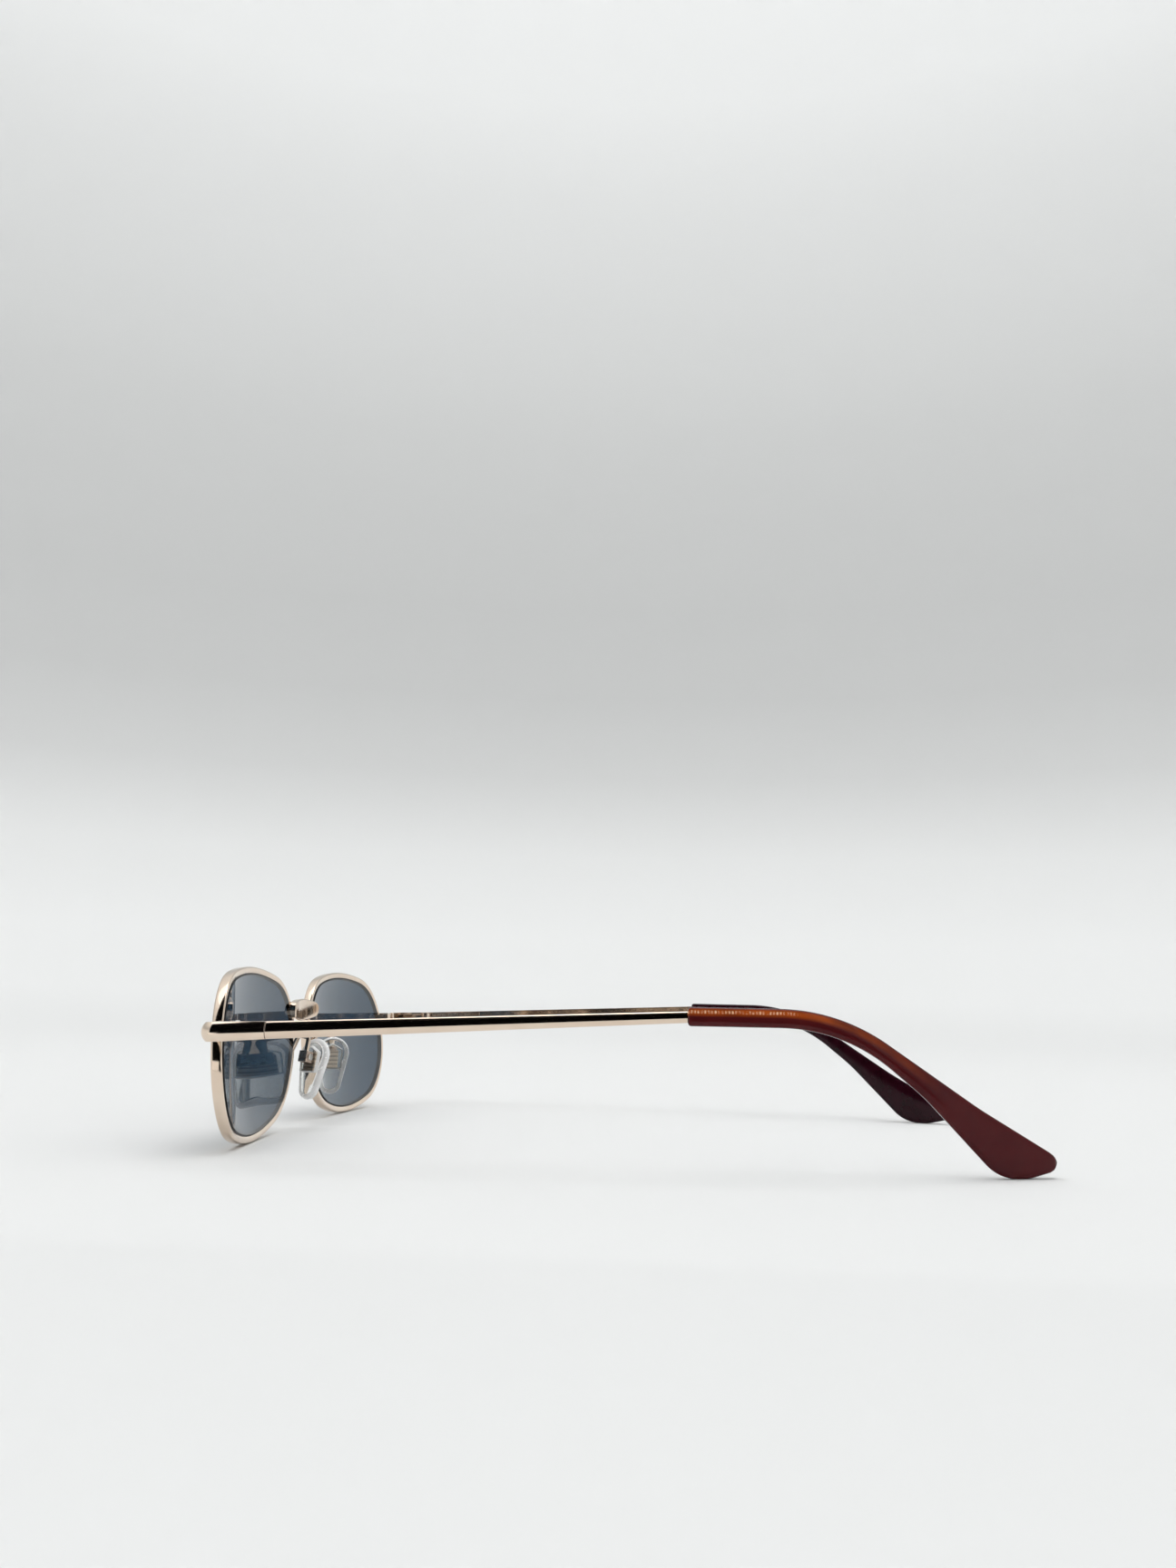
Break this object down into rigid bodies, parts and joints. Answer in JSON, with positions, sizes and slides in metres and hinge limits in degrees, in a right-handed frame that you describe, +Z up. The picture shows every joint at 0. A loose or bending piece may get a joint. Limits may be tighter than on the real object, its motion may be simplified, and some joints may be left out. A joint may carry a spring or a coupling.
{
  "type": "sunglasses",
  "caption": "Narrow rectangular sunglasses: grooved metal eyewires with smoke lenses, soldered bridge, rocking nose pads and folding barrel-hinged temples with bent tips",
  "frame": {"origin": "middle of the bounding box, on the floor that the lower rims and temple tips rest on", "axes": "+X to the wearer's left, +Y from the lenses back to the ears along the open temples, +Z up"},
  "size_m": [0.1386, 0.1584, 0.0349],
  "materials": {
    "frame_metal": "polished champagne plating",
    "hinge_metal": "satin champagne plating",
    "screw_metal": "turned bright steel",
    "dark_metal": "stamped nickel, seen dark",
    "smoke_lens": "grey tinted, glossy",
    "clear_pad": "clear moulded plastic",
    "tip_plastic": "dark red-brown translucent, polished"
  },
  "bodies": {
    "front": {"bridge": "frame_metal", "left_rim": "frame_metal", "left_lens": "smoke_lens", "left_closing_block_upper": "frame_metal", "left_closing_block_lower": "frame_metal", "left_rim_screw": "screw_metal", "left_end_piece": "frame_metal", "left_front_hinge": "hinge_metal", "left_hinge_screw": "screw_metal", "left_pad_arm": "frame_metal", "left_pad_box": "dark_metal", "left_pad_screw": "screw_metal", "right_rim": "frame_metal", "right_lens": "smoke_lens", "right_closing_block_upper": "frame_metal", "right_closing_block_lower": "frame_metal", "right_rim_screw": "screw_metal", "right_end_piece": "frame_metal", "right_front_hinge": "hinge_metal", "right_hinge_screw": "screw_metal", "right_pad_arm": "frame_metal", "right_pad_box": "dark_metal", "right_pad_screw": "screw_metal"},
    "left_temple": {"left_temple": "frame_metal", "left_temple_hinge": "hinge_metal", "left_temple_tip": "tip_plastic"},
    "left_pad": {"left_nose_pad": "clear_pad", "left_pad_insert": "dark_metal"},
    "right_temple": {"right_temple": "frame_metal", "right_temple_hinge": "hinge_metal", "right_temple_tip": "tip_plastic"},
    "right_pad": {"right_nose_pad": "clear_pad", "right_pad_insert": "dark_metal"}
  },
  "joints": [
    {"name": "left_temple_hinge", "type": "hinge", "parent": "front", "child": "left_temple", "pos_m": [0.0656, -0.06135, 0.0233], "axis": [0, 0, 1], "range_deg": [0, 86]},
    {"name": "right_temple_hinge", "type": "hinge", "parent": "front", "child": "right_temple", "pos_m": [-0.0656, -0.06135, 0.0233], "axis": [0, 0, -1], "range_deg": [0, 79]},
    {"name": "left_pad_rock", "type": "hinge", "parent": "front", "child": "left_pad", "pos_m": [0.00975, -0.07188, 0.0158], "axis": [0.3746, 0.9272, 0], "range_deg": [-7, 7]},
    {"name": "right_pad_rock", "type": "hinge", "parent": "front", "child": "right_pad", "pos_m": [-0.00975, -0.07188, 0.0158], "axis": [-0.3746, 0.9272, 0], "range_deg": [-7, 7]}
  ]
}
